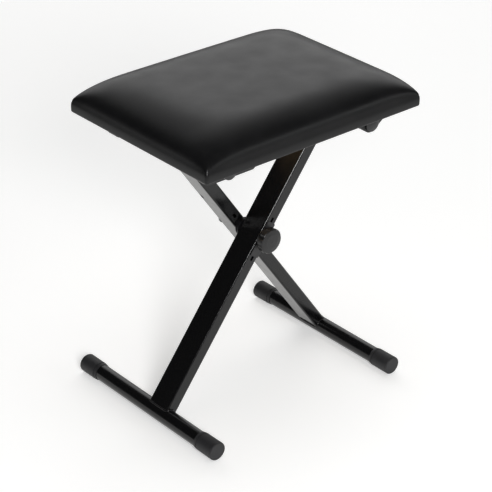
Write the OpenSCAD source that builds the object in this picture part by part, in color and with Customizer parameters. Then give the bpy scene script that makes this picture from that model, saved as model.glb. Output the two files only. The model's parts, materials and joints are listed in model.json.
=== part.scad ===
// Folding cross-legged bench for a keyboard player.
// The frame is +Z up, with the origin on the floor below the middle of the seat.
// X runs along the seat, Y across it, and the crossed legs open in the XZ plane.
// The front leg (at -Y) rises to the right, and the rear leg (at +Y) rises to the left.

/* [Seat] */
// Length of the upholstered seat
seat_w = 400; // [380:5:440]
// Depth of the upholstered seat
seat_d = 294; // [284:2:330]
// Height of the cushion's top above the seat's underside
seat_h = 49; // [44:1:58]
// Thickness of the plywood board
board_t = 12; // [9:1:15]
// Thickness of the vinyl cover
cover_t = 1; // [0.8:0.1:1.5]
// Width of cover folded under the board
hem_w = 25; // [18:1:28]

/* [Legs] */
// Angle of each leg from the vertical
leg_angle = 36.44; // [34:0.01:38]
// Length of a leg from its pivot down to the foot bar's axis
lower_arm = 296.5; // [280:0.5:310]
// Length of a leg from its pivot up to the top bar's axis
upper_arm = 215.5; // [205:0.5:220]
// Width of the leg tube along Y
leg_y = 40; // [34:1:44]
// Thickness of the leg tube in the plane it swings in
leg_x = 20; // [18:1:24]
// Gap between the two legs
leg_gap = 5; // [4.6:0.1:6]
// Wall of every steel tube
tube_wall = 1.5; // [1.2:0.1:1.8]

/* [Cross bars] */
// Diameter of the foot bars and top bars
bar_d = 25; // [22:0.5:26]
// Length over the two caps of a foot bar
foot_span = 304; // [298:1:320]
// Length over the two plugs of a top bar
top_span = 242; // [236:1:246]
// Shift of each top bar towards its own leg's side
top_shift = 6; // [4:1:8]
// Length of a foot cap
cap_l = 38; // [34:1:42]
// Largest diameter of a foot cap
cap_d = 28.4; // [27.5:0.1:30]

/* [Lock] */
// Diameter of the clamp knob
knob_d = 39; // [34:1:42]
// Number of finger flutes round the knob
knob_flutes = 8; // [6:1:10]
// Distance from the front leg's face to the knob's front
knob_reach = 19.5; // [19:0.5:22]
// Diameter of the pivot bolt
bolt_d = 10; // [8:1:10]
// Diameter of the notched collar and of the clutch discs
collar_d = 28; // [26:1:30]
// Number of teeth on a clutch disc, always even
clutch_teeth = 40; // [24:2:40]

/* [Seat fittings] */
// Width along Y of a saddle block
saddle_y = 20; // [16:1:20]
// Half length of a saddle block
saddle_half = 42; // [38:1:46]
// Width along Y of a slide rail
rail_y = 16; // [12:1:18]
// Distance of each rail from the seat's middle line
rail_place = 95; // [90:1:100]

/* [Hidden] */
$fn = 72;

e = 0.01;                 // overshoot of a cut past the face it opens
fit = 0.05;               // radial clearance of a turning fit
gap = 0.3;                // clearance between pieces that only pass each other

// Colours
vinyl_black = [0.11, 0.11, 0.12];
foam_grey = [0.62, 0.62, 0.58];
plywood = [0.72, 0.56, 0.38];
gloss_black = [0.05, 0.05, 0.06];
satin_black = [0.14, 0.14, 0.15];
zinc = [0.68, 0.69, 0.70];
black_oxide = [0.10, 0.10, 0.11];

// Heights, from the floor up
bar_r = bar_d / 2;
cap_r = cap_d / 2;
foot_flat = 0.3;          // depth of the flat moulded under each cap
foot_z = cap_r - foot_flat;
pivot_z = foot_z + lower_arm * cos(leg_angle);
top_z = pivot_z + upper_arm * cos(leg_angle);
foot_x = lower_arm * sin(leg_angle);
top_x = upper_arm * sin(leg_angle);
bar_drop = 3;             // space between a top bar and the cover's hem
seat_z = top_z + bar_r + bar_drop;
board_z = seat_z + cover_t;

// Places along Y
leg_front = -(leg_gap / 2 + leg_y);
leg_mid = (leg_gap + leg_y) / 2;

// Cushion
board_r = 6;              // corner radius of the board
edge_h = 14.5;            // height of the square band round the seat
shoulder = 42;            // width over which the edge rises to the top
plan_r = 5;               // corner radius of the seat in plan
crown_steps = 6;

// Lock, measured outward from the front leg's face
plate_t = 2;
collar_t = 4.5;
washer_t = 1;
bolt_r = bolt_d / 2;
knob_back = plate_t + collar_t + 2 * fit + washer_t;
knob_t = knob_reach - knob_back;
slot_up = 27;             // distance from the pivot to the upper slot of a leg
slot_down = 34;           // distance from the pivot to the front leg's lower slot
slot_l = 9;
slot_w = 4.6;
disc_t = leg_gap / 2 - 0.2;
sleeve_wall = 2;
insert_af = 17;           // hexagon of the insert across its flats
insert_t = 7;

// Screws
screw_r = 2;
screw_l = 10;
head_r = 4;
head_t = 2.4;
ear_t = 3.7;              // thickness of a fitting where a screw clamps it

// ---------------------------------------------------------------- shapes

// Rectangle with round corners, centred
module round_rect(w, h, r) {
    square([w - 2 * r, h], center = true);
    square([w, h - 2 * r], center = true);
    for (sx = [-1, 1], sy = [-1, 1])
        translate([sx * (w / 2 - r), sy * (h / 2 - r)]) circle(r = r);
}

// Cylinder along Y from y0 to y1
module rod_y(r, y0, y1) {
    translate([0, y1, 0]) rotate([90, 0, 0]) cylinder(r = r, h = y1 - y0);
}

// Children drawn with +Z outward from the front leg's face, on the pivot axis
module on_front_face(h = 0) {
    translate([0, leg_front - h, pivot_z]) rotate([90, 0, 0]) children();
}

// Children drawn in a leg's own frame: Z up the leg from the pivot. side is 1 for
// the front leg, which rises to +X, and -1 for the rear leg
module on_leg(side) {
    translate([0, 0, pivot_z]) rotate([0, side * leg_angle, 0]) children();
}

// Upper half of the cushion's outline: inset and height at an angle up the shoulder
function crown_inset(a, t) = shoulder * (1 - cos(a)) + t;
function crown_z(a, t) = seat_z + edge_h + (seat_h - edge_h - t) * sin(a);

// Solid of the whole seat, thinner by t on its sides and top, from height z0 up
module seat_solid(t, z0) {
    hull() {
        seat_slab(t, z0, plan_r);
        for (i = [0 : crown_steps])
            seat_slab(crown_inset(i * 90 / crown_steps, t),
                      crown_z(i * 90 / crown_steps, t) - 0.2,
                      plan_r + 0.8 * crown_inset(i * 90 / crown_steps, 0));
    }
}

// Thin rectangular layer of the seat, set in from its edge
module seat_slab(inset, z, r) {
    for (sx = [-1, 1], sy = [-1, 1])
        translate([sx * (seat_w / 2 - inset - r), sy * (seat_d / 2 - inset - r), z])
            cylinder(r = r, h = 0.2, $fn = 32);
}

// ------------------------------------------------------------------ seat

screw_xs = [for (s = [-1, 1]) top_x + s * (saddle_half - 8)];
saddle_ys = [-(top_span / 2 + top_shift) + 6 + saddle_y / 2,
             top_span / 2 - top_shift - 8 - saddle_y / 2];
low_step = 9;             // closing of the legs' crossing angle to the lowest height
slot_r = bar_r + gap;
slot_x0 = top_x - 2 * upper_arm * sin(leg_angle + low_step / 2);
rail_wall = 3;
rail_x1 = slot_x0 + 92;   // right end of a rail's top
rail_screw_xs = [slot_x0, rail_x1 - 12];
ear_w = 16;
ear_out = 14;

// Places of every wood screw under the board
screw_places = concat(
    [for (x = screw_xs, y = saddle_ys) [x, y]],
    [for (x = rail_screw_xs, s = [-1, 1]) [x, s * (rail_place - rail_y / 2 - ear_out / 2)]]);

module seat_board() {
    color(plywood)
    difference() {
        translate([0, 0, board_z]) linear_extrude(height = board_t)
            round_rect(seat_w - 2 * cover_t, seat_d - 2 * cover_t, board_r);
        for (p = screw_places)
            translate([p[0], p[1], board_z - e])
                cylinder(r = screw_r, h = screw_l - ear_t + 0.4);
    }
}

module seat_foam() {
    color(foam_grey)
    intersection() {
        seat_solid(cover_t, board_z);
        translate([-seat_w / 2, -seat_d / 2, board_z + board_t])
            cube([seat_w, seat_d, seat_h]);
    }
}

module seat_cover() {
    window = [seat_w - 2 * (cover_t + hem_w), seat_d - 2 * (cover_t + hem_w)];
    color(vinyl_black)
    difference() {
        seat_solid(0, seat_z);
        seat_solid(cover_t, board_z);
        translate([-window[0] / 2, -window[1] / 2, seat_z - 1])
            cube([window[0], window[1], 1 + cover_t + e]);
    }
}

// Wire staples through the hem, in rows along all four edges
staple_w = 10;
staple_wire = 0.6;
staple_leg = 6;
staple_in = 16;           // distance of the rows from the seat's edge

module staple() {
    translate([-staple_w / 2, -staple_wire / 2, -staple_wire])
        cube([staple_w, staple_wire, staple_wire]);
    for (s = [-1, 1])
        translate([s * (staple_w - staple_wire) / 2 - staple_wire / 2,
                   -staple_wire / 2, -staple_wire])
            cube([staple_wire, staple_wire, staple_leg]);
}

module cover_staples() {
    nx = 9;
    ny = 6;
    row_x = seat_w / 2 - staple_in;
    row_y = seat_d / 2 - staple_in;
    color(zinc)
    translate([0, 0, seat_z]) {
        for (i = [0 : nx - 1], s = [-1, 1])
            translate([(i / (nx - 1) - 0.5) * (seat_w - 80), s * row_y, 0]) staple();
        for (i = [0 : ny - 1], s = [-1, 1])
            translate([s * row_x, (i / (ny - 1) - 0.5) * (seat_d - 70), 0])
                rotate([0, 0, 90]) staple();
    }
}

// ---------------------------------------------------------- seat fittings

// Moulded block that holds the right top bar: round below the bar, with sloping
// shoulders out to a screw at each end. y is its middle
module saddle(y) {
    r = bar_r + 2.3;
    up = board_z - top_z;
    reach = sqrt(pow(saddle_half, 2) + pow(up - ear_t, 2));
    // Angle at which the shoulder's line touches the round part
    turn = asin(r / reach) + atan2(up - ear_t, saddle_half);
    touch = [r * sin(turn), -r * cos(turn)];
    color(satin_black)
    translate([top_x, y + saddle_y / 2, top_z]) rotate([90, 0, 0])
    difference() {
        linear_extrude(height = saddle_y) {
            circle(r = r);
            polygon([[-saddle_half, up], [-saddle_half, up - ear_t], [-touch[0], touch[1]],
                     [touch[0], touch[1]], [saddle_half, up - ear_t], [saddle_half, up]]);
        }
        translate([0, 0, -e]) cylinder(r = bar_r + 2 * fit, h = saddle_y + 2 * e);
        for (s = [-1, 1])
            translate([s * (saddle_half - 8), up + e, saddle_y / 2]) rotate([90, 0, 0]) {
                cylinder(r = screw_r + 0.2, h = 2 * bar_d);
                translate([0, 0, ear_t + e]) cylinder(r = head_r + 0.5, h = 2 * bar_d);
            }
    }
}

module front_saddle() { saddle(saddle_ys[0]); }
module rear_saddle() { saddle(saddle_ys[1]); }

// Moulded rail that the left top bar slides in, closed at the left, where the bench
// is at its lowest, and open towards the middle. side is -1 at the front, 1 at the rear
module rail(side) {
    bottom = top_z - slot_r - rail_wall;
    lip_x1 = rail_x1 - 16;
    color(satin_black)
    difference() {
        union() {
            translate([0, side * rail_place + rail_y / 2, 0]) rotate([90, 0, 0])
                linear_extrude(height = rail_y) {
                    translate([slot_x0, top_z]) circle(r = slot_r + rail_wall);
                    polygon([[slot_x0 - slot_r - rail_wall, board_z],
                             [slot_x0 - slot_r - rail_wall, top_z], [slot_x0, bottom],
                             [lip_x1, bottom], [lip_x1 + 4, bottom + rail_wall],
                             [rail_x1, top_z + slot_r], [rail_x1, board_z]]);
                }
            for (x = rail_screw_xs)
                translate([x - ear_w / 2,
                           side > 0 ? rail_place - rail_y / 2 - ear_out
                                    : -rail_place + rail_y / 2 - 1,
                           board_z - ear_t])
                    cube([ear_w, ear_out + 1, ear_t]);
        }
        // Slot: a round end, then open to the right
        translate([slot_x0, 0, top_z]) rod_y(slot_r, -rail_place - rail_y, rail_place + rail_y);
        translate([slot_x0, -rail_place - rail_y, top_z - slot_r])
            cube([seat_w, 2 * (rail_place + rail_y), 2 * slot_r]);
        for (x = rail_screw_xs)
            translate([x, side * (rail_place - rail_y / 2 - ear_out / 2), board_z - ear_t]) {
                translate([0, 0, -e]) cylinder(r = screw_r + 0.2, h = ear_t + 2 * e);
                translate([0, 0, -e]) cylinder(r1 = head_r + 0.2, r2 = screw_r + 0.2, h = head_t + 0.2);
            }
    }
}

module front_rail() { rail(-1); }
module rear_rail() { rail(1); }

// Wood screw driven upward. A pan head stands below the fitting's ear, and a sunk head
// lies inside it, so that the top bar can pass below
module wood_screw(p, sunk) {
    translate([p[0], p[1], board_z - ear_t]) {
        translate([0, 0, sunk ? 0.1 : 0]) cylinder(r = screw_r - e, h = screw_l);
        if (sunk)
            translate([0, 0, 0.1]) cylinder(r1 = head_r, r2 = screw_r - e, h = head_t);
        else
            translate([0, 0, -head_t]) cylinder(r = head_r, h = head_t);
    }
}

module saddle_screws() {
    color(zinc) for (p = screw_places) if (p[0] > 0) wood_screw(p, false);
}

module rail_screws() {
    color(zinc) for (p = screw_places) if (p[0] < 0) wood_screw(p, true);
}

// ------------------------------------------------------------------ legs

// Rectangular tube from the foot bar to the top bar, its ends cut to fit round them
module leg_tube(side) {
    y_mid = -side * leg_mid;
    face = y_mid - leg_y / 2;
    color(gloss_black)
    on_leg(side)
    difference() {
        translate([0, y_mid, -lower_arm]) linear_extrude(height = lower_arm + upper_arm)
            difference() {
                round_rect(leg_x, leg_y, 2.5);
                round_rect(leg_x - 2 * tube_wall, leg_y - 2 * tube_wall, 1);
            }
        for (z = [-lower_arm, upper_arm])
            translate([0, 0, z]) rod_y(bar_r + e, y_mid - leg_y, y_mid + leg_y);
        rod_y(bolt_r + sleeve_wall, y_mid - leg_y / 2 + tube_wall / 2, y_mid + leg_y / 2 - tube_wall / 2);
        rod_y(bolt_r + 0.4, y_mid - leg_y, y_mid + leg_y);
        translate([-slot_w / 2, face - 1, slot_up - slot_l / 2])
            cube([slot_w, tube_wall + 2, slot_l]);
        if (side > 0)
            translate([-slot_w / 2, face - 1, -slot_down - slot_l / 2])
                cube([slot_w, tube_wall + 2, slot_l]);
        else
            // Vent hole in the lower wide face, near the rear edge
            translate([-leg_x, y_mid + 15, 70]) rotate([0, 90, 0]) cylinder(r = 4, h = leg_x);
    }
}

module front_leg_tube() { leg_tube(1); }
module rear_leg_tube() { leg_tube(-1); }

// Round tube along Y between y0 and y1
module bar(x, z, y0, y1) {
    color(gloss_black)
    translate([x, 0, z])
    difference() {
        rod_y(bar_r, y0, y1);
        rod_y(bar_r - tube_wall, y0 - e, y1 + e);
    }
}

cap_end_t = 2.5;
plug_t = 2.5;
foot_tip = foot_span / 2;
top_tips = [-top_span / 2 - top_shift, top_span / 2 - top_shift];

module left_foot_bar() { bar(-foot_x, foot_z, -foot_tip + cap_end_t, foot_tip - cap_end_t); }
module right_foot_bar() { bar(foot_x, foot_z, -foot_tip + cap_end_t, foot_tip - cap_end_t); }
module right_top_bar() { bar(top_x, top_z, top_tips[0] + plug_t, top_tips[1] - plug_t); }
module left_top_bar() { bar(-top_x, top_z, -top_tips[1] + plug_t, -top_tips[0] - plug_t); }

// Moulded cap over the end of a foot bar. end is -1 at the front and 1 at the rear
module foot_cap(x, end) {
    lip_l = 5;
    groove_l = 1.4;
    color(satin_black)
    difference() {
        translate([x, end * (foot_tip - cap_l), foot_z]) rotate([-end * 90, 0, 0])
            rotate_extrude()
                polygon([[bar_r, 0], [bar_r + 0.7, 0], [cap_r - 0.2, lip_l],
                         [cap_r - 0.9, lip_l], [cap_r - 0.9, lip_l + groove_l],
                         [cap_r - 0.2, lip_l + groove_l], [cap_r, cap_l - 1.6],
                         [cap_r - 0.5, cap_l - 0.4], [cap_r - 1.6, cap_l], [0, cap_l],
                         [0, cap_l - cap_end_t], [bar_r, cap_l - cap_end_t]]);
        // Flat that the bench stands on
        translate([x - cap_d, -seat_d, -cap_d]) cube([2 * cap_d, 2 * seat_d, cap_d]);
    }
}

module left_front_foot_cap() { foot_cap(-foot_x, -1); }
module left_rear_foot_cap() { foot_cap(-foot_x, 1); }
module right_front_foot_cap() { foot_cap(foot_x, -1); }
module right_rear_foot_cap() { foot_cap(foot_x, 1); }

// Push-in plug with a low domed head. tip is the head's outermost y, end its side
module bar_plug(x, tip, end) {
    spigot_l = 10;
    dome_r = 36;
    color(satin_black)
    translate([x, tip, top_z]) rotate([-end * 90, 0, 0])
    intersection() {
        translate([0, 0, -dome_r]) sphere(r = dome_r, $fn = 96);
        union() {
            translate([0, 0, -plug_t]) cylinder(r = bar_r, h = plug_t);
            translate([0, 0, -plug_t - spigot_l])
                cylinder(r = bar_r - tube_wall - 0.1, h = spigot_l + e);
        }
    }
}

module right_front_plug() { bar_plug(top_x, top_tips[0], -1); }
module right_rear_plug() { bar_plug(top_x, top_tips[1], 1); }
module left_front_plug() { bar_plug(-top_x, -top_tips[1], -1); }
module left_rear_plug() { bar_plug(-top_x, -top_tips[0], 1); }

// Spacer tube inside a leg, so that the bolt's pull doesn't crush the tube
module leg_sleeve(y_mid, bore) {
    half = leg_y / 2 - tube_wall / 2;
    color(zinc)
    translate([0, 0, pivot_z])
    difference() {
        rod_y(bolt_r + sleeve_wall - e, y_mid - half + e, y_mid + half - e);
        rod_y(bore, y_mid - leg_y, y_mid + leg_y);
    }
}

module front_leg_sleeve() { leg_sleeve(-leg_mid, bolt_r + fit); }
module rear_leg_sleeve() { leg_sleeve(leg_mid, bolt_r + e); }

// ------------------------------------------------------------------ lock

// Toothed disc welded to a leg's inner face, its teeth towards the other leg
module clutch_disc() {
    base_t = 1.3;
    tooth_in = bolt_r + 5;
    tooth_out = collar_d / 2 - 0.4;
    color(black_oxide) {
        difference() {
            cylinder(d = collar_d, h = base_t);
            translate([0, 0, -e]) cylinder(r = bolt_r + 0.4, h = base_t + 2 * e);
        }
        for (i = [0 : clutch_teeth - 1])
            rotate([0, 0, i * 360 / clutch_teeth])
                translate([tooth_in, -0.5, base_t - 0.3])
                    cube([tooth_out - tooth_in, 1, disc_t - base_t + 0.3]);
    }
}

module front_clutch_disc() {
    on_leg(1) translate([0, -leg_gap / 2, 0]) rotate([-90, 0, 0]) clutch_disc();
}

module rear_clutch_disc() {
    on_leg(-1) translate([0, leg_gap / 2, 0]) rotate([90, 0, 0]) clutch_disc();
}

// Cup spring between the discs, which parts their teeth when the knob is loosened
module clutch_spring() {
    wire = 0.5;
    rise = 0.9;
    color(black_oxide)
    translate([0, -leg_gap / 2 + 1.35, pivot_z]) rotate([-90, 0, 0])
        rotate_extrude()
            polygon([[bolt_r + 4.2, 0], [bolt_r + 4.2, wire], [bolt_r + 0.7, rise + wire],
                     [bolt_r + 0.7, rise]]);
}

// Pressed plate on the front leg's face, its ends turned into the leg's slots
module lock_plate() {
    plate_w = 17;
    tab_t = 1.5;
    z_up = slot_up - slot_l / 2 + gap + tab_t;
    z_down = -slot_down + slot_l / 2 - gap - tab_t;
    color(satin_black)
    on_leg(1)
    translate([0, leg_front, 0])
    difference() {
        union() {
            translate([0, 0, (z_up + z_down) / 2]) rotate([90, 0, 0])
                linear_extrude(height = plate_t) round_rect(plate_w, z_up - z_down, 2.5);
            for (z = [z_up - tab_t, z_down])
                translate([-slot_w / 2 + gap, -plate_t / 2, z])
                    cube([slot_w - 2 * gap, plate_t / 2 + 4, tab_t]);
        }
        rod_y(bolt_r + 0.4, -plate_t - 1, 6);
    }
}

// Notched collar that centres the knob
module lock_collar() {
    notches = 10;
    color(satin_black)
    on_front_face(plate_t)
    difference() {
        cylinder(d = collar_d, h = collar_t);
        translate([0, 0, -e]) cylinder(r = bolt_r + 0.4, h = collar_t + 2 * e);
        for (i = [0 : notches - 1])
            rotate([0, 0, i * 360 / notches])
                translate([collar_d / 2 - 2, -1.6, 1.5]) cube([4, 3.2, collar_t]);
    }
}

module thrust_washer() {
    color(zinc)
    on_front_face(plate_t + collar_t + fit)
    difference() {
        cylinder(r = 10, h = washer_t);
        translate([0, 0, -e]) cylinder(r = bolt_r + 0.3, h = washer_t + 2 * e);
    }
}

// Moulded knob: fluted rim, low domed front, hollow for the hexagon insert
module lock_knob() {
    flute_r = 7;
    flute_depth = 1.6;
    edge = 2.6;
    dome = 1.2;
    r = knob_d / 2;
    color(satin_black)
    on_front_face(knob_back)
    difference() {
        intersection() {
            linear_extrude(height = knob_t)
                difference() {
                    circle(r = r);
                    for (i = [0 : knob_flutes - 1])
                        rotate(i * 360 / knob_flutes + 12)
                            translate([r + flute_r - flute_depth, 0]) circle(r = flute_r);
                }
            rotate_extrude() {
                polygon([[0, 0], [r - 4, 0], [r, 2], [r, knob_t - dome - edge],
                         [r - edge, knob_t - dome], [r - edge - 6, knob_t - 0.3], [0, knob_t]]);
                translate([r - edge, knob_t - dome - edge]) circle(r = edge);
            }
        }
        translate([0, 0, -e]) cylinder(d = insert_af / cos(30), h = insert_t + e, $fn = 6);
        translate([0, 0, -e]) cylinder(r = bolt_r + 0.6, h = knob_t - 2);
    }
}

module knob_insert() {
    color(zinc)
    on_front_face(knob_back)
    difference() {
        cylinder(d = (insert_af - 0.02) / cos(30), h = insert_t - e, $fn = 6);
        translate([0, 0, -e]) cylinder(r = bolt_r + fit, h = insert_t);
    }
}

// Bolt held in the rear leg: domed head behind it, and its end inside the knob
module pivot_bolt() {
    head_h = 4.5;
    dome_r = 13.4;
    reach = knob_back + knob_t - 3.5;
    back = -leg_front + 1.5;
    color(zinc)
    translate([0, 0, pivot_z]) {
        rod_y(bolt_r, leg_front - reach, back + e);
        translate([0, back, 0]) rotate([-90, 0, 0])
            intersection() {
                cylinder(r = 10, h = head_h);
                translate([0, 0, head_h - dome_r]) sphere(r = dome_r, $fn = 96);
            }
    }
}

module bolt_washer() {
    color(zinc)
    translate([0, 0, pivot_z])
    difference() {
        rod_y(11, -leg_front, -leg_front + 1.5);
        rod_y(bolt_r + e, -leg_front - 1, -leg_front + 3);
    }
}

// ------------------------------------------------------------------ nodes

seat_board();
seat_foam();
seat_cover();
cover_staples();
front_saddle();
rear_saddle();
saddle_screws();
front_rail();
rear_rail();
rail_screws();
front_leg_tube();
left_foot_bar();
right_top_bar();
left_front_foot_cap();
left_rear_foot_cap();
right_front_plug();
right_rear_plug();
front_leg_sleeve();
front_clutch_disc();
clutch_spring();
lock_plate();
lock_collar();
thrust_washer();
lock_knob();
knob_insert();
rear_leg_tube();
right_foot_bar();
left_top_bar();
right_front_foot_cap();
right_rear_foot_cap();
left_front_plug();
left_rear_plug();
rear_leg_sleeve();
rear_clutch_disc();
pivot_bolt();
bolt_washer();
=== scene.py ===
"""Looks of a folding cross-legged bench: padded vinyl seat, black steel legs, moulded fittings.

The CAD model is the fixed frame. This script gives every CAD part its finish, makes in full what
the CAD model holds only as plain solids, the stuffed seat and the screws, and adds the weld beads
and the folded corners of the hem.
"""
import json
import math

import bmesh
import bpy
from mathutils import Matrix, Vector


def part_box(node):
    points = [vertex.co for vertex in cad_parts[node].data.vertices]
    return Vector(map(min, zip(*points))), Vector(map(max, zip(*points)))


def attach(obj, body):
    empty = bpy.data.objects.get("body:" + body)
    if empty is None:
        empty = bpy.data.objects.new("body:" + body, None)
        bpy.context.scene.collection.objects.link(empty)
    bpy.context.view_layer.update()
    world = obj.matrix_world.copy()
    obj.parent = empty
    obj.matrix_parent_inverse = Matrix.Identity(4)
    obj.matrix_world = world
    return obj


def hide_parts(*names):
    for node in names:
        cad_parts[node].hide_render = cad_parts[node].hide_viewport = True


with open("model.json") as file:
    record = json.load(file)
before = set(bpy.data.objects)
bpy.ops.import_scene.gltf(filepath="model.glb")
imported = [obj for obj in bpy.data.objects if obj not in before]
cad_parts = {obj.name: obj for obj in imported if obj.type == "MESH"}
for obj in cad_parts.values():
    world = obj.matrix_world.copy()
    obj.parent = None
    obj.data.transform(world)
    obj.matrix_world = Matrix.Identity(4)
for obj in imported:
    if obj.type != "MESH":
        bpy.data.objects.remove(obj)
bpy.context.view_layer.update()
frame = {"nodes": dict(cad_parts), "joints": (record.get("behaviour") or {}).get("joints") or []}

MM = 0.001
UP = Vector((0, 0, 1))

# ------------------------------------------------------------------ places in the frame
COVER_LOW, COVER_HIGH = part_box("seat_cover")
BOARD_LOW, BOARD_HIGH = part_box("seat_board")
SEAT_HALF = Vector((COVER_HIGH.x, COVER_HIGH.y))
SEAT_UNDER = COVER_LOW.z
PIVOT = Vector(next(j["pos_m"] for j in frame["joints"] if j["name"] == "scissor"))


# ------------------------------------------------------------------ camera
CAMERA_AZIMUTH = math.radians(-42.32)
CAMERA_ELEVATION = math.radians(28.92)
CAMERA_ROLL = math.radians(1.55)
CAMERA_DISTANCE = 2.616
CAMERA_LENS = 130.86          # millimetres, on a 36 mm sensor
AIM_HEIGHT = 0.2469           # of the point aimed at, before the small shifts below
AIM_RIGHT = 0.0035
AIM_UP = -0.0240


def make_camera():
    """A long lens from the front left, a little above the seat, tilted slightly to one side."""
    flat = math.cos(CAMERA_ELEVATION)
    back = Vector((math.sin(CAMERA_AZIMUTH) * flat, -math.cos(CAMERA_AZIMUTH) * flat,
                   math.sin(CAMERA_ELEVATION)))
    right = (-back).cross(UP).normalized()
    above = right.cross(-back)
    roll = Matrix.Rotation(-CAMERA_ROLL, 3, -back)
    right, above = roll @ right, roll @ above
    data = bpy.data.cameras.new("camera")
    data.lens = CAMERA_LENS
    data.sensor_width = 36
    camera = bpy.data.objects.new("camera", data)
    aim = Vector((0, 0, AIM_HEIGHT)) + right * AIM_RIGHT + above * AIM_UP
    turn = Matrix((right, above, back)).transposed().to_4x4()
    camera.matrix_world = Matrix.Translation(aim + back * CAMERA_DISTANCE) @ turn
    bpy.context.scene.collection.objects.link(camera)
    bpy.context.scene.camera = camera


# ------------------------------------------------------------------ studio
def soft_light(name, direction, distance, width, height, power):
    """A large softbox facing the bench, which the camera doesn't see."""
    data = bpy.data.lights.new(name, "AREA")
    data.shape = "RECTANGLE"
    data.size, data.size_y = width, height
    data.energy = power
    light = bpy.data.objects.new(name, data)
    away = Vector(direction).normalized()
    light.location = PIVOT + away * distance
    light.rotation_mode = "QUATERNION"
    light.rotation_quaternion = away.to_track_quat("Z", "Y")
    light.visible_camera = False
    bpy.context.scene.collection.objects.link(light)
    return light


def make_world(brightness, seen):
    """A dim room round the lights. The camera sees it as pale as the floor."""
    world = bpy.data.worlds.new("studio")
    world.use_nodes = True
    tree = world.node_tree
    tree.nodes.clear()
    ray = add(tree, "LightPath")
    dim = add(tree, "Background", {"Color": (1, 1, 1, 1), "Strength": brightness})
    pale = add(tree, "Background", {"Color": (1, 1, 1, 1), "Strength": seen})
    both = add(tree, "MixShader", {}, {0: ray.outputs["Is Camera Ray"], 1: dim.outputs[0],
                                       2: pale.outputs[0]})
    add(tree, "OutputWorld", {}, {"Surface": both.outputs[0]})
    bpy.context.scene.world = world


FLOOR_HALF = 1.5              # the paper is a sheet 3 m across


def make_floor():
    """Pale matt floor, invisible from below so that the underside can be seen."""
    bm = bmesh.new()
    bmesh.ops.create_grid(bm, x_segments=1, y_segments=1, size=FLOOR_HALF)
    floor = piece("floor", bm, paper_floor())


def make_studio():
    make_world(0.045, 1.0)
    # White wall behind the bench, which the top of the seat reflects
    soft_light("back_wall", (0.60, 0.66, 0.44), 3.4, 5.0, 2.2, 50)
    # Low softbox to the right of the camera, for the soft light along the seat's front
    soft_light("front_right_box", (0.60, -0.78, 0.26), 3.2, 1.9, 1.0, 10)
    # Softbox above the camera, for the thin lights along corners and rims
    soft_light("camera_box", (-0.46, -0.74, 0.44), 3.2, 0.9, 0.8, 72)
    # Overhead light for the floor, kept out of the reflections
    overhead = soft_light("overhead", (0.12, 0.10, 1), 2.6, 2.4, 2.4, 24)
    overhead.visible_glossy = False
    view = bpy.context.scene.view_settings
    view.view_transform = "Standard"
    view.look = "None"


# ------------------------------------------------------------------ material tools
def colour(code):
    """Linear colour with alpha from an sRGB hex code."""
    parts = [int(code[i:i + 2], 16) / 255 for i in (1, 3, 5)]
    return tuple(c / 12.92 if c <= 0.04045 else ((c + 0.055) / 1.055) ** 2.4 for c in parts) + (1,)


def add(tree, kind, settings=None, links=None):
    """Adds a node with its settings, which are properties or inputs, and its links."""
    made = tree.nodes.new("ShaderNode" + kind)
    for name, value in (settings or {}).items():
        if isinstance(name, str) and hasattr(made, name):
            setattr(made, name, value)
        else:
            made.inputs[name].default_value = value
    for name, source in (links or {}).items():
        tree.links.new(source, made.inputs[name])
    return made


def start(name, base, roughness, **shader):
    """A new material with its shader and Object coordinates: (material, tree, shader, place)."""
    made = bpy.data.materials.new(name)
    made.use_nodes = True
    tree = made.node_tree
    tree.nodes.clear()
    surface = add(tree, "BsdfPrincipled", {"Base Color": colour(base), "Roughness": roughness, **shader})
    add(tree, "OutputMaterial", {}, {"Surface": surface.outputs[0]})
    place = add(tree, "TexCoord").outputs["Object"]
    return made, tree, surface, place


def per_metre(size_mm):
    """Scale of a texture whose features are size_mm apart, in Object coordinates of metres."""
    return 1 / (size_mm * MM)


def noise(tree, place, size_mm, detail=2.0, roughness=0.5):
    """Cloudy pattern with lumps about size_mm across, from 0 to 1."""
    made = add(tree, "TexNoise", {"Scale": per_metre(size_mm), "Detail": detail, "Roughness": roughness},
               {"Vector": place})
    return made.outputs["Fac"]


def spread(tree, value, low, high, start_at=0.3, end_at=0.7):
    """Value stretched from start_at..end_at to low..high."""
    made = add(tree, "MapRange", {"From Min": start_at, "From Max": end_at, "To Min": low, "To Max": high},
               {"Value": value})
    return made.outputs["Result"]


def blend(tree, share, first, second):
    """Colour that goes from first to second as share goes from 0 to 1."""
    made = add(tree, "MixRGB", {"Color1": colour(first), "Color2": colour(second)}, {"Fac": share})
    return made.outputs["Color"]


def raise_surface(tree, surface, height, depth_mm, under=None):
    """Bumps the surface by a height pattern, depth_mm deep, over an earlier bump if there is one."""
    links = {"Height": height}
    if under is not None:
        links["Normal"] = under
    bump = add(tree, "Bump", {"Strength": 1.0, "Distance": depth_mm * MM}, links)
    tree.links.new(bump.outputs["Normal"], surface.inputs["Normal"])
    return bump.outputs["Normal"]


# ------------------------------------------------------------------ materials
def paper_floor():
    # Matt white background paper: evenly pale, with only soft shadows
    made, tree, surface, _ = start("background_paper", "#f4f4f3", 0.9)
    surface.inputs["Emission Color"].default_value = (1, 1, 1, 1)
    surface.inputs["Emission Strength"].default_value = 0.32
    clear = add(tree, "BsdfTransparent")
    side = add(tree, "NewGeometry")
    both = add(tree, "MixShader", {}, {0: side.outputs["Backfacing"], 1: surface.outputs[0],
                                       2: clear.outputs[0]})
    output = next(n for n in tree.nodes if n.type == "OUTPUT_MATERIAL")
    tree.links.new(both.outputs[0], output.inputs["Surface"])
    return made


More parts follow.
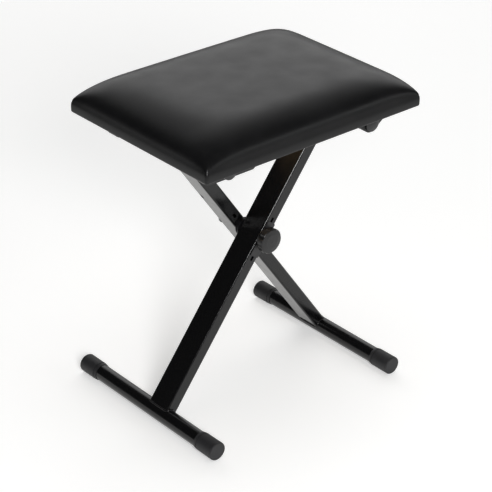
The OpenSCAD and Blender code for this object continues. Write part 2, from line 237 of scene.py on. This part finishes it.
def upholstery_vinyl():
    # Calendered PVC on knit cloth, embossed with a fine leather grain. It has a satin sheen that
    # spreads highlights wide, and the foam below makes the surface very slightly uneven.
    made, tree, surface, place = start("upholstery_vinyl", "#0f0f10", 0.40,
                                        **{"IOR": 1.5, "Specular IOR Level": 0.3})
    uneven = raise_surface(tree, surface, noise(tree, place, 60, 1.0), 0.15)
    # Real pebbles are about 0.6 mm across; they are drawn at 1.1 mm so that they show
    pebbles = add(tree, "TexVoronoi", {"feature": "SMOOTH_F1", "Scale": per_metre(1.1), "Smoothness": 0.6},
                  {"Vector": place}).outputs["Distance"]
    raise_surface(tree, surface, pebbles, 0.05, uneven)
    worn = noise(tree, place, 35, 3.0)
    tree.links.new(spread(tree, worn, 0.37, 0.44), surface.inputs["Roughness"])
    tree.links.new(blend(tree, spread(tree, worn, 0, 1), "#0d0d0e", "#121213"), surface.inputs["Base Color"])
    return made


def knit_backing():
    # Warp-knitted polyester that the vinyl is laid on, seen only at the hem's cut edge
    made, tree, surface, place = start("knit_backing", "#4a4a48", 0.95, IOR=1.45)
    # Real loops are about 1.2 mm apart. They are drawn 3.8 mm apart so that they show: the bands of a
    # wave texture are pi / 10 of its unit apart, and the unit is 12 mm here.
    loops = add(tree, "TexWave", {"Scale": per_metre(12), "Distortion": 2.0}, {"Vector": place})
    raise_surface(tree, surface, loops.outputs["Fac"], 0.15)
    return made


def stoved_enamel():
    # Black paint baked on steel tube: deep gloss, with the faint waves known as orange peel
    made, tree, surface, place = start("stoved_enamel", "#0b0b0c", 0.16,
                                        **{"IOR": 1.5, "Specular IOR Level": 0.38})
    peel = raise_surface(tree, surface, noise(tree, place, 2.2, 1.0), 0.012)
    raise_surface(tree, surface, noise(tree, place, 38, 1.0), 0.10, peel)
    dulled = noise(tree, place, 14, 4.0)
    tree.links.new(spread(tree, dulled, 0.13, 0.22), surface.inputs["Roughness"])
    return made


def satin_black(name, base, pale, roughness, grain_mm, grain_depth_mm):
    """Satin black with an even fine texture.

    Moulded plastic and rubber take it from a spark-eroded mould, and sprayed paint has it as fine lumps.
    """
    made, tree, surface, place = start(name, base, roughness, IOR=1.5)
    raise_surface(tree, surface, noise(tree, place, grain_mm, 2.0), grain_depth_mm)
    cloudy = noise(tree, place, 9, 4.0)
    tree.links.new(spread(tree, cloudy, roughness - 0.04, roughness + 0.06), surface.inputs["Roughness"])
    tree.links.new(blend(tree, spread(tree, cloudy, 0, 1), base, pale), surface.inputs["Base Color"])
    return made


def zinc_plate():
    # Bright zinc plating with a clear passivate: a bluish metal, slightly mottled and soft in gloss
    made, tree, surface, place = start("zinc_plate", "#b9bcc0", 0.32, Metallic=1.0)
    mottle = noise(tree, place, 3.5, 3.0)
    tree.links.new(spread(tree, mottle, 0.24, 0.42), surface.inputs["Roughness"])
    tint = blend(tree, spread(tree, mottle, 0, 1), "#c3c6ca", "#aeb0ac")
    tree.links.new(tint, surface.inputs["Base Color"])
    raise_surface(tree, surface, noise(tree, place, 0.7, 1.0), 0.01)
    return made


def black_oxide():
    # Steel blackened in a hot caustic bath and oiled: a thin dark skin that keeps the metal's soft gleam
    made, tree, surface, place = start("black_oxide_steel", "#26262a", 0.42, Metallic=0.8)
    oily = noise(tree, place, 4, 3.0)
    tree.links.new(spread(tree, oily, 0.36, 0.52), surface.inputs["Roughness"])
    tree.links.new(blend(tree, spread(tree, oily, 0, 1), "#202023", "#2c2b2e"), surface.inputs["Base Color"])
    raise_surface(tree, surface, noise(tree, place, 0.8, 1.0), 0.01)
    return made


def birch_plywood():
    # Rotary-cut veneers glued crosswise: wandering grain on the faces, light and dark plies on the edge
    made, tree, surface, place = start("birch_plywood", "#c6a578", 0.62, IOR=1.5)
    along = add(tree, "Mapping", {"Scale": (0.06, 1, 1)}, {"Vector": place}).outputs["Vector"]
    grain = noise(tree, along, 5, 6.0, 0.62)
    figure = blend(tree, spread(tree, grain, 0, 1, 0.38, 0.62), "#d2b68c", "#a98354")
    height = add(tree, "SeparateXYZ", {}, {"Vector": place}).outputs["Z"]
    ply_mm = 2.4
    rise = add(tree, "Math", {"operation": "MULTIPLY_ADD", 1: math.pi / (ply_mm * MM),
                              2: -math.pi * BOARD_LOW.z / (ply_mm * MM)}, {0: height}).outputs[0]
    plies = add(tree, "Math", {"operation": "SINE"}, {0: rise}).outputs[0]
    level = add(tree, "NewGeometry").outputs["Normal"]
    facing = add(tree, "SeparateXYZ", {}, {"Vector": level}).outputs["Z"]
    edge = add(tree, "Math", {"operation": "LESS_THAN", 1: 0.5},
               {0: add(tree, "Math", {"operation": "ABSOLUTE"}, {0: facing}).outputs[0]}).outputs[0]
    striped = blend(tree, spread(tree, plies, 0, 1, -0.3, 0.3), "#8a6138", "#cdb083")
    both = add(tree, "MixRGB", {}, {"Fac": edge, "Color1": figure, "Color2": striped})
    tree.links.new(both.outputs["Color"], surface.inputs["Base Color"])
    raise_surface(tree, surface, grain, 0.12)
    return made


# ------------------------------------------------------------------ mesh tools
def rank(place):
    """One number for a place, in which height weighs most, then depth, then width."""
    x, y, z = (round(c, 7) for c in place)
    return x + y * 1e3 + z * 1e6


def put_in_order(bm):
    """Sorts a bmesh by place. Operators may leave any order, and cloth depends on the order it is given."""
    bm.verts.sort(key=lambda v: rank(v.co))
    bm.edges.sort(key=lambda e: rank((e.verts[0].co + e.verts[1].co) / 2))
    bm.faces.sort(key=lambda f: rank(f.calc_center_median()))


def piece(name, bm, *materials):
    """Makes an object from a bmesh, with its place in its mesh."""
    put_in_order(bm)
    mesh = bpy.data.meshes.new(name)
    bm.to_mesh(mesh)
    bm.free()
    made = bpy.data.objects.new(name, mesh)
    for material in materials:
        mesh.materials.append(material)
    for face in mesh.polygons:
        face.use_smooth = True
    bpy.context.scene.collection.objects.link(made)
    return made


def settle(made):
    """Applies an object's modifiers to its mesh."""
    graph = bpy.context.evaluated_depsgraph_get()
    mesh = bpy.data.meshes.new_from_object(made.evaluated_get(graph))
    made.modifiers.clear()
    made.data = mesh


# ------------------------------------------------------------------ seat
BAND_HEIGHT = 14.5 * MM       # upright band of cover round the board
PINCH = 1.0 * MM              # that the cover is drawn in above the band, where the foam starts
CROWN_RISE = 33.5 * MM        # of the foam above the band, before it is stuffed
DOME_RISE = 2.0 * MM
SHOULDER_X = 88 * MM          # how far in from each end the top stops rising
SHOULDER_Y = 63 * MM
SHOULDER_POWER = 2.45         # 2 is an ellipse, more is squarer
CORNER_RADIUS = 3 * MM
HEM_WIDTH = 25 * MM
VINYL = 1 * MM
BAND_LIP = 1.2 * MM           # below the crease, where the band turns upright
HEM_TURN = 1.6 * MM           # radius of the fold from band to hem
GRID_X, GRID_Y = 64, 48       # steps along and across the seat
EDGE_CROWDING = 1.35          # above 1, the steps crowd towards the edges
TRAVEL = 2.6 * MM             # most that stuffing moves the cover
SWELL_PASSES = 12             # of smoothing, over the crown
STUFFING_FRAMES = 20


def shoulder(distance, reach):
    """Share of the full height at a distance in from the edge."""
    inward = min(max(1 - distance / reach, 0), 1)
    return (1 - inward ** SHOULDER_POWER) ** (1 / SHOULDER_POWER)


def crown_place(u, v):
    """Point of the cover's top for u and v from -1 to 1 along and across the seat."""
    inset = [half * (1 - abs(t)) ** EDGE_CROWDING for half, t in zip(SEAT_HALF, (u, v))]
    flat = [half - d for half, d in zip(SEAT_HALF, inset)]
    rise = CROWN_RISE * shoulder(inset[0], SHOULDER_X) * shoulder(inset[1], SHOULDER_Y)
    dome = DOME_RISE * (1 - (flat[0] / SEAT_HALF.x) ** 2) * (1 - (flat[1] / SEAT_HALF.y) ** 2)
    over = [max(f - half + CORNER_RADIUS, 0) / CORNER_RADIUS for f, half in zip(flat, SEAT_HALF)]
    flat[0] -= CORNER_RADIUS * over[0] * (1 - math.sqrt(1 - over[1] ** 2 / 2))
    flat[1] -= CORNER_RADIUS * over[1] * (1 - math.sqrt(1 - over[0] ** 2 / 2))
    return Vector((math.copysign(flat[0], u), math.copysign(flat[1], v),
                   SEAT_UNDER + BAND_HEIGHT + rise + dome))


def seat_shell():
    """Closed shell of the seat's cover: crown, upright band, hem, and the hollow that the board fills."""
    bm = bmesh.new()
    bmesh.ops.create_grid(bm, x_segments=GRID_X, y_segments=GRID_Y, size=1)
    for vert in bm.verts:
        vert.co = crown_place(vert.co.x, vert.co.y)
    crease = bm.edges.layers.float.new("crease_edge")
    ring = [e for e in bm.edges if e.is_boundary]
    pinched = [(half - PINCH) / half for half in SEAT_HALF]
    for vert in {v for e in ring for v in e.verts}:
        vert.co = (vert.co.x * pinched[0], vert.co.y * pinched[1], vert.co.z)
    # (distance in from the cover's edge, height above its underside, crease, is backing)
    rows = [(0, BAND_HEIGHT - BAND_LIP, 0, 0), (0, 1.5 * MM, 0, 0), (0.4 * MM, 0.35 * MM, 0, 0),
            (HEM_TURN, 0, 0, 0), (HEM_WIDTH - VINYL, 0, 0, 0), (HEM_WIDTH, 0.15 * MM, 0, 0),
            (HEM_WIDTH, VINYL, 1, 1), (VINYL, VINYL, 1, 1), (VINYL, BOARD_HIGH.z - SEAT_UNDER, 1, 1)]
    was = PINCH
    for inset, height, sharp, backing in rows:
        made = bmesh.ops.extrude_edge_only(bm, edges=ring)["geom"]
        share = [(half - inset) / (half - was) for half in SEAT_HALF]
        for vert in (g for g in made if isinstance(g, bmesh.types.BMVert)):
            vert.co = (vert.co.x * share[0], vert.co.y * share[1], SEAT_UNDER + height)
        for face in (g for g in made if isinstance(g, bmesh.types.BMFace)):
            face.material_index = backing
        ring = [e for e in bm.edges if e.is_boundary]
        for edge in ring:
            edge[crease] = sharp
        was = inset
    lid = bmesh.ops.contextual_create(bm, geom=ring)["faces"]
    for face in lid:
        face.material_index = 1
    bmesh.ops.triangulate(bm, faces=lid)
    bmesh.ops.recalc_face_normals(bm, faces=bm.faces)
    return bm


def stuff(cushion):
    """Swells the crown with cloth pressure. The band and hem are held, as the staples hold them."""
    held = cushion.vertex_groups.new(name="held")
    top_of_band = SEAT_UNDER + BAND_HEIGHT + 0.01 * MM
    held.add([v.index for v in cushion.data.vertices if v.co.z < top_of_band], 1.0, "REPLACE")
    before = [(v.co.copy(), v.normal.copy()) for v in cushion.data.vertices]
    cloth = cushion.modifiers.new("stuffing", "CLOTH")
    settings = cloth.settings
    settings.quality = 10
    settings.mass = 0.3
    settings.tension_stiffness = 25
    settings.compression_stiffness = 25
    settings.shear_stiffness = 10
    settings.bending_stiffness = 2
    settings.use_pressure = True
    settings.uniform_pressure_force = 4
    settings.vertex_group_mass = "held"
    settings.effector_weights.gravity = 0
    cloth.collision_settings.use_collision = False
    for step in range(1, STUFFING_FRAMES + 1):
        bpy.context.scene.frame_set(step)
    settle(cushion)
    bpy.context.scene.frame_set(1)
    # The foam stops the cover from buckling inwards, so only the swelling is kept
    swell = [max((v.co - place).dot(out), 0) for v, (place, out) in zip(cushion.data.vertices, before)]
    swell = even_out(cushion.data, [TRAVEL * math.tanh(s / TRAVEL) for s in swell], SWELL_PASSES)
    for vert, (place, out), rise in zip(cushion.data.vertices, before, swell):
        vert.co = place + out * (rise if place.z > top_of_band else 0)


def even_out(mesh, values, passes):
    """Averages one value per vertex with its neighbours, a number of times."""
    for _ in range(passes):
        total = list(values)
        count = [1] * len(values)
        for edge in mesh.edges:
            one, other = edge.vertices
            total[one] += values[other]
            total[other] += values[one]
            count[one] += 1
            count[other] += 1
        values = [t / c for t, c in zip(total, count)]
    return values


def make_cushion(vinyl, backing):
    cushion = piece("seat_cushion", seat_shell(), vinyl, backing)
    stuff(cushion)
    smooth = cushion.modifiers.new("smooth", "SUBSURF")
    smooth.levels = smooth.render_levels = 1
    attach(cushion, "seat")
    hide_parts("seat_cover", "seat_foam")


PLEAT_THICK = 0.9 * MM
PLEAT_SUNK = 0.2 * MM         # that a pleat goes into the hem, so that no gap shows
PLEAT_EDGE = 0.35 * MM
# Corners of a pleat, in from the seat's end and from its side
PLEAT_CORNERS = [(3 * MM, 3 * MM), (HEM_WIDTH - 1 * MM, HEM_WIDTH - 1 * MM), (HEM_WIDTH + 12 * MM, 4 * MM)]


def make_pleats(vinyl):
    """Folded flap of cover at each corner of the hem, where the spare vinyl is tucked and stapled."""
    for end, side_x in (("left", -1), ("right", 1)):
        for face, side_y in (("front", -1), ("rear", 1)):
            bm = bmesh.new()
            verts = [bm.verts.new((side_x * (SEAT_HALF.x - x), side_y * (SEAT_HALF.y - y),
                                   SEAT_UNDER - PLEAT_THICK)) for x, y in PLEAT_CORNERS]
            made = bmesh.ops.extrude_face_region(bm, geom=[bm.faces.new(verts)])["geom"]
            tops = [g for g in made if isinstance(g, bmesh.types.BMVert)]
            bmesh.ops.translate(bm, verts=tops, vec=(0, 0, PLEAT_THICK + PLEAT_SUNK))
            bmesh.ops.bevel(bm, geom=bm.edges[:], affect="EDGES", offset=PLEAT_EDGE, segments=3,
                            profile=0.5, material=-1)
            bmesh.ops.recalc_face_normals(bm, faces=bm.faces)
            pleat = piece(f"{end}_{face}_hem_pleat", bm, vinyl)
            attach(pleat, "seat")


# ------------------------------------------------------------------ welds
LEG_THICK = 20 * MM           # of a leg tube, in the plane it swings in
BEAD_RADIUS = 1.9 * MM
BEAD_STEPS = 96
RIPPLES = 19                  # round a bead, one for each dab of the torch
BEAD_FULLNESS = 0.9           # mean radius of a bead, as a share of BEAD_RADIUS
RIPPLE_SHARE = 0.12           # height of the ripples, as a share of BEAD_RADIUS
UNEVEN_SHARE = 0.05           # unevenness of the hand, as a share of BEAD_RADIUS
CORNER_POWER = 8              # of the bead's outline, higher is squarer


def outline_point(share, width, height):
    """Point at a share of the way round a rectangle with round corners, centred."""
    angle = 2 * math.pi * share
    c, s = math.cos(angle), math.sin(angle)
    total = abs(2 * c / width) ** CORNER_POWER + abs(2 * s / height) ** CORNER_POWER
    scale = total ** (-1 / CORNER_POWER)
    return c * scale, s * scale


def make_weld(name, leg, bar, body, enamel):
    """Bead of weld round the end of a leg tube, where it is cut to sit on a round bar."""
    bar_low, bar_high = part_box(bar)
    leg_low, leg_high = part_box(leg)
    bar_radius = (bar_high.z - bar_low.z) / 2
    bar_middle = (bar_low + bar_high) / 2
    middle = Vector((bar_middle.x, (leg_low.y + leg_high.y) / 2, bar_middle.z))
    inward = Vector((PIVOT.x - middle.x, 0, PIVOT.z - middle.z)).normalized()
    sideways = Vector((inward.z, 0, -inward.x))
    curve = bpy.data.curves.new(name, "CURVE")
    curve.dimensions = "3D"
    curve.bevel_depth = BEAD_RADIUS
    curve.bevel_resolution = 3
    line = curve.splines.new("POLY")
    line.points.add(BEAD_STEPS - 1)
    line.use_cyclic_u = True
    for i, point in enumerate(line.points):
        p, q = outline_point(i / BEAD_STEPS, LEG_THICK, leg_high.y - leg_low.y)
        along = math.sqrt(bar_radius ** 2 - p ** 2)
        place = middle + sideways * p + Vector((0, q, 0)) + inward * along
        point.co = (*place, 1)
        ripple = RIPPLE_SHARE * math.sin(i * 2 * math.pi * RIPPLES / BEAD_STEPS)
        point.radius = BEAD_FULLNESS + ripple + UNEVEN_SHARE * math.sin(i * 1.7)
    bead = bpy.data.objects.new(name, curve)
    curve.materials.append(enamel)
    bpy.context.scene.collection.objects.link(bead)
    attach(bead, body)


# ------------------------------------------------------------------ screws
SCREW_HEAD = 4.0 * MM         # radius
SPIN_STEPS = 40
RECESS_DEPTH = 1.3 * MM
RECESS_WIDTH = 0.95 * MM
RECESS_REACH = 4.4 * MM       # from tip to tip of the cross
RECESS_TURN = math.pi / 5     # angle at which the driver left the cross
SHARP_ANGLE = math.radians(35)
# Half outlines from the middle of the head's face to the tip, as (radius, height) in millimetres
PAN_HEAD = [(0, 0), (1.4, 0.03), (2.6, 0.25), (3.5, 0.75), (3.9, 1.4), (4, 2.1), (3.95, 2.4), (1.9, 2.4),
            (1.9, 10.6), (0, 12.4)]
SUNK_HEAD = [(0, 0), (3.7, 0), (3.95, 0.15), (1.9, 2.3), (1.9, 8.1), (0, 9.9)]


def cross_recess(places):
    """Cutter for cross recesses: two tapered blades at right angles for each screw."""
    bm = bmesh.new()
    for place in places:
        for turn in (0, math.pi / 2):
            made = bmesh.ops.create_cube(bm, size=1)["verts"]
            inner = [v for v in made if v.co.z > 0]
            bmesh.ops.scale(bm, verts=made, vec=(RECESS_REACH, RECESS_WIDTH, 2 * RECESS_DEPTH))
            bmesh.ops.scale(bm, verts=inner, vec=(0.6, 0.6, 1))
            bmesh.ops.rotate(bm, verts=made, matrix=Matrix.Rotation(turn + RECESS_TURN, 3, "Z"))
            bmesh.ops.translate(bm, verts=made, vec=place)
    return piece("recess_cutter", bm)


def make_screws(name, outline, zinc):
    """Four screws at the corners of the CAD screws' box, driven upward, with cross recesses."""
    low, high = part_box(name)
    places = [Vector((x, y, low.z)) for x in (low.x + SCREW_HEAD, high.x - SCREW_HEAD)
              for y in (low.y + SCREW_HEAD, high.y - SCREW_HEAD)]
    bm = bmesh.new()
    for place in places:
        verts = [bm.verts.new(place + Vector((r * MM, 0, h * MM))) for r, h in outline]
        edges = [bm.edges.new(pair) for pair in zip(verts, verts[1:])]
        bmesh.ops.spin(bm, geom=verts + edges, cent=place, axis=UP, angle=2 * math.pi,
                       steps=SPIN_STEPS, use_merge=True)
    bmesh.ops.remove_doubles(bm, verts=bm.verts, dist=0.01 * MM)
    bmesh.ops.recalc_face_normals(bm, faces=bm.faces)
    screws = piece(name + "_drawn", bm, zinc)
    cutter = cross_recess(places)
    cut = screws.modifiers.new("recess", "BOOLEAN")
    cut.object = cutter
    cut.use_self = True
    settle(screws)
    bpy.data.objects.remove(cutter)
    screws.data.set_sharp_from_angle(angle=SHARP_ANGLE)
    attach(screws, "seat")
    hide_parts(name)


# ------------------------------------------------------------------ finishes of the CAD parts
def finish_nodes(material, *names):
    """Gives CAD nodes a material."""
    for name in names:
        for place in frame["nodes"][name].material_slots:
            place.material = material


def main():
    make_camera()
    make_studio()
    make_floor()
    vinyl = upholstery_vinyl()
    enamel = stoved_enamel()
    zinc = zinc_plate()
    # Base and paler colour, roughness, then the grain's spacing and depth in millimetres
    nylon = satin_black("moulded_nylon", "#161617", "#1b1b1c", 0.45, 0.8, 0.02)
    rubber = satin_black("moulded_rubber", "#1a1a1c", "#202022", 0.58, 0.9, 0.04)
    plug = satin_black("plug_polythene", "#1c1c1d", "#212122", 0.45, 0.9, 0.02)
    knob = satin_black("knob_plastic", "#0b0b0c", "#0f0f10", 0.36, 0.8, 0.03)
    pressed = satin_black("satin_paint", "#121213", "#161617", 0.38, 1.0, 0.02)
    make_cushion(vinyl, knit_backing())
    make_pleats(vinyl)
    for leg, foot_bar, top_bar in (("front_leg", "left_foot_bar", "right_top_bar"),
                                   ("rear_leg", "right_foot_bar", "left_top_bar")):
        make_weld(leg + "_foot_weld", leg + "_tube", foot_bar, leg, enamel)
        make_weld(leg + "_top_weld", leg + "_tube", top_bar, leg, enamel)
    make_screws("saddle_screws", PAN_HEAD, zinc)
    make_screws("rail_screws", SUNK_HEAD, zinc)
    finish_nodes(birch_plywood(), "seat_board")
    finish_nodes(enamel, "front_leg_tube", "rear_leg_tube", "left_foot_bar", "right_foot_bar",
                 "left_top_bar", "right_top_bar")
    finish_nodes(nylon, "front_saddle", "rear_saddle", "front_rail", "rear_rail", "lock_collar")
    finish_nodes(rubber, "left_front_foot_cap", "left_rear_foot_cap", "right_front_foot_cap",
                 "right_rear_foot_cap")
    finish_nodes(plug, "left_front_plug", "left_rear_plug", "right_front_plug", "right_rear_plug")
    finish_nodes(knob, "lock_knob")
    finish_nodes(pressed, "lock_plate")
    finish_nodes(black_oxide(), "front_clutch_disc", "rear_clutch_disc", "clutch_spring")
    finish_nodes(zinc, "cover_staples", "front_leg_sleeve", "rear_leg_sleeve", "thrust_washer",
                 "knob_insert", "pivot_bolt", "bolt_washer")


main()
